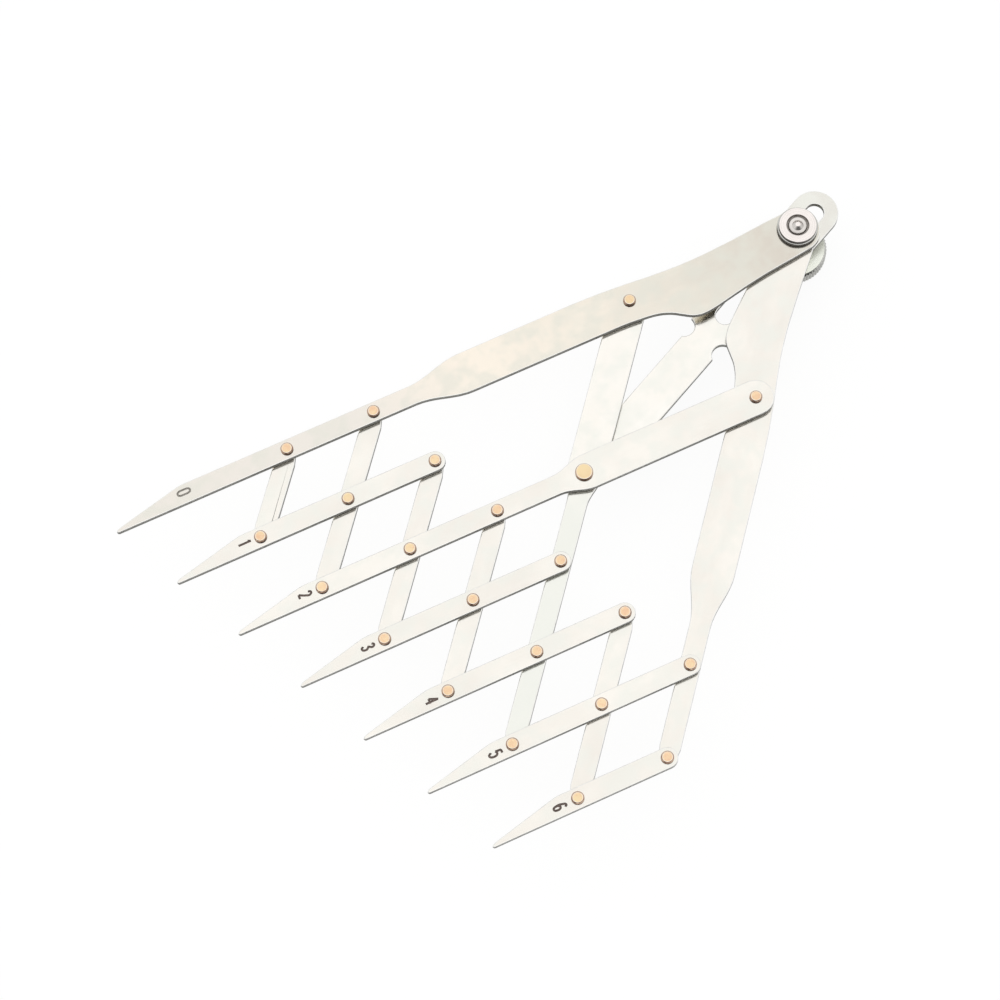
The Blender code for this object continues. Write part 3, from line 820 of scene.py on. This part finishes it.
def thumb_screw_piece():
    """Knurled grip, boss and screw: one turned profile, then the grip's rim pressed into teeth."""
    low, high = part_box("thumb_screw")
    end = high.z - CONE_HEIGHT
    face_radius = KNOB_RADIUS - KNOB_SLOPE
    face_foot = KNOB_TOP - KNOB_FACE_FALL
    slope_foot = face_foot - KNOB_SLOPE_DROP
    rim_top = slope_foot - TOOTH_LEDGE
    rim_foot = low.z + KNOB_FOOT_CHAMFER
    profile = [(0.0, high.z), (CONE_TOP_RADIUS, high.z), (CONE_RADIUS, end),
               (SCREW_RADIUS - END_CHAMFER, end), (SCREW_RADIUS, end - END_CHAMFER),
               (SCREW_RADIUS, BOSS_TOP), (BOSS_RADIUS - BOSS_CHAMFER, BOSS_TOP),
               (BOSS_RADIUS, BOSS_TOP - BOSS_CHAMFER), (BOSS_RADIUS, KNOB_TOP),
               (face_radius, face_foot), (KNOB_RADIUS - KNURL_DEPTH, slope_foot)]
    profile += [(KNOB_RADIUS, rim_top + (rim_foot - rim_top) * step / KNURL_RINGS)
                for step in range(KNURL_RINGS + 1)]
    profile += [(KNOB_RADIUS - KNOB_FOOT_CHAMFER, low.z), (0.0, low.z)]
    shape = spun(profile, (low + high) / 2, KNURL_TEETH * STEPS_PER_TOOTH)
    for vertex in shape.verts:
        reach = math.hypot(vertex.co.x, vertex.co.y)
        if reach > KNOB_RADIUS - MERGE_DISTANCE:
            turn = math.atan2(vertex.co.y, vertex.co.x)
            dip = KNURL_DEPTH * (1 - math.cos(KNURL_TEETH * turn)) / 2
            vertex.co.x *= 1 - dip / reach
            vertex.co.y *= 1 - dip / reach
    shape.normal_update()
    finishes = [screw_steel, knurl, painted_shade_steel, end_steel, nut_steel]
    for face in shape.faces:
        middle = face.calc_center_median()
        reach = math.hypot(middle.x, middle.y)
        if reach > face_radius and middle.z > low.z + MERGE_DISTANCE:
            # The slope ring round the knob's face takes the steel darkened with painted shade.
            finish = knurl if middle.z < rim_top else painted_shade_steel
        elif middle.z > end + MERGE_DISTANCE and abs(face.normal.z) > SCREW_END_NORMAL:
            finish = nut_steel
        else:
            finish = end_steel if middle.z > BOSS_TOP + MERGE_DISTANCE else screw_steel
        face.material_index = finishes.index(finish)
    sharpen(shape)
    settle(finished("thumb_screw_turned", shape, finishes), "thumb_screw")


def add_camera():
    camera = bpy.data.objects.new("camera", bpy.data.cameras.new("camera"))
    camera.data.lens = CAMERA_LENS
    camera.data.sensor_width = CAMERA_SENSOR
    axes = Matrix((CAMERA_RIGHT, -Vector(CAMERA_DOWN), -Vector(CAMERA_FORWARD))).transposed()
    camera.matrix_world = Matrix.Translation(CAMERA_PLACE) @ axes.to_4x4()
    bpy.context.scene.collection.objects.link(camera)
    bpy.context.scene.camera = camera


def add_floor():
    shape = bmesh.new()
    bmesh.ops.create_grid(shape, x_segments=1, y_segments=1, size=FLOOR_SIZE / 2)
    bmesh.ops.translate(shape, verts=shape.verts, vec=(0.0, 0.0, solid_box[0][2]))
    floor = finished("floor", shape, [floor_finish()])


def add_sky():
    """A soft white room: a brighter ceiling light, and dark near the horizon behind the camera."""
    world = bpy.data.worlds.new("soft_room")
    bpy.context.scene.world = world
    finish = Finish(world)
    way = finish.node("ShaderNodeTexCoord", output="Generated")
    height = finish.node("ShaderNodeSeparateXYZ", None, {0: way}, output=2)
    window = finish.ramp(finish.facing(way, WINDOW_WAY), 0.0, 1.0) ** WINDOW_NARROWNESS
    gloom = finish.ramp(finish.facing(way, DARK_WAY), DARK_START, DARK_FULL) * DARK_SHARE
    rise = finish.ramp(height, 0.0, ZENITH_HEIGHT)
    room = HORIZON_LIGHT + rise * (ZENITH_LIGHT - HORIZON_LIGHT)
    light = room * (1.0 - gloom) + window * WINDOW_LIGHT
    background = finish.tree.nodes["Background"]
    background.inputs["Color"].default_value = WHITE
    finish.tree.links.new(light.socket, background.inputs["Strength"])


# The cut edge's dark grey is partly its rough finish and partly painted shade.
cut_edge = grained_finish("cut_edge", CUT_DARK, CUT_PALE, scale=1400.0, low=0.35, high=0.65,
                          metallic=0.35, roughness=0.50)
rolled_rim = grained_finish("rolled_rim", ROLLED_GREY, ROLLED_PALE, scale=900.0, low=0.30,
                            high=0.60, metallic=1.0, roughness=0.10)
engraving = grained_finish("engraving_black", GROOVE_DARK, GROOVE_GREY, scale=3000.0, low=0.40,
                           high=0.70, metallic=0.0, roughness=0.70)
faint_engraving = grained_finish("engraving_faint", FAINT_DARK, FAINT_GREY, scale=3000.0, low=0.40,
                                 high=0.70, metallic=0.0, roughness=0.70)
copper = copper_finish()
# The rivet's rim is made paler as painted highlight.
copper_highlight_rim = grained_finish("copper_highlight_rim", RIM_HIGHLIGHT_DEEP, RIM_HIGHLIGHT_PALE, scale=900.0, low=0.35,
                            high=0.60, metallic=1.0, roughness=0.20)
# The rivet's upright wall is darkened with painted shade.
painted_wall_shade = grained_finish("copper_painted_wall_shade", WALL_SHADE_DARK, WALL_SHADE_BROWN, scale=1600.0, low=0.40,
                        high=0.65, metallic=0.4, roughness=0.45)
# The rivet's skirt is darkened with painted shade.
copper_skirt = grained_finish("copper_skirt", SKIRT_DEEP, SKIRT_PALE, scale=1600.0, low=0.40,
                              high=0.65, metallic=1.0, roughness=0.10)
# Arm 0 darkens towards its hub as painted shade, turns paler further out as a painted sheen, and
# turns cooler near its point.
arm_steel = sheet_finish("arm_steel", ARM_PALE, ARM_GREY, ARM_COOL, BAR_TURN,
                         ((ARM_HUB_SHADE, 0.020, 0.006), (ARM_SHEEN, 0.020, 0.075),
                          (ARM_TIP, 0.078, 0.104)))
bar_steel = sheet_finish("bar_steel", SHEET_PALE, SHEET_GREY, SHEET_COOL, BAR_TURN)
link_steel = sheet_finish("link_steel", SHEET_PALE, SHEET_GREY, SHEET_COOL, LINK_TURN)
lever_steel = sheet_finish("lever_steel", STRIP_PALE, SHEET_PALE, SHEET_COOL, LINK_TURN,
                           ((SHEET_COOL, 0.062, 0.075),))
# The strip's underside is darkened with painted shade.
shaded_underside = grained_finish("painted_shade_underside", FOOT_DARK, FOOT_GREY, scale=260.0, low=0.35,
                           high=0.65, metallic=1.0, roughness=0.16)
# The strip turns greyer towards its tab end.
strip_steel = sheet_finish("strip_steel", STRIP_PALE, SHEET_PALE, SHEET_COOL, 0.0,
                           ((STRIP_TAB_GREY, 0.006, -0.004),))
nut_steel = turned_finish("nut_steel", TURNED_PALE, TURNED_GREY, rings=4000.0, roughness=0.14)
# The nut's upright sides are darkened with painted shade.
dark_side = grained_finish("dark_side", SIDE_DARK, SIDE_GREY, scale=1600.0, low=0.35, high=0.65,
                           metallic=0.5, roughness=0.45)
# The nut's mouth is darkened with painted shade.
mouth_steel = grained_finish("mouth_steel", MOUTH_DARK, MOUTH_GREY, scale=1600.0, low=0.35,
                             high=0.65, metallic=0.6, roughness=0.45)
screw_steel = turned_finish("screw_steel", SCREW_PALE, SCREW_GREY, rings=5000.0, roughness=0.20)
end_steel = turned_finish("end_steel", END_PALE, END_GREY, rings=3000.0, roughness=0.20)
# Steel darkened with painted shade, for the flange's ledge and the knob's slope ring.
painted_shade_steel = turned_finish("painted_shade_steel", GRIP_PALE, GRIP_GREY, rings=2500.0, roughness=0.08)
# The knurl's colours are painted highlight on the crests and painted shade between them.
knurl = knurl_finish()

for number, bar in POINT_BARS.items():
    if number == 0:
        sheet_piece(bar, arm_steel, number)
    else:
        sheet_piece(bar, bar_steel, number)
for link in LINKS:
    sheet_piece(link, lever_steel if link == "link_lever_4" else link_steel)
# The strip's underside is darkened with painted shade.
sheet_piece("slotted_strip", strip_steel, underside=shaded_underside)
for rivet in sorted(name for name in frame["nodes"] if "rivet" in name):
    rivet_piece(rivet)
front_nut_piece()
washer_piece()
thumb_screw_piece()
add_camera()
add_floor()
add_sky()
bpy.context.scene.view_settings.view_transform = "Standard"
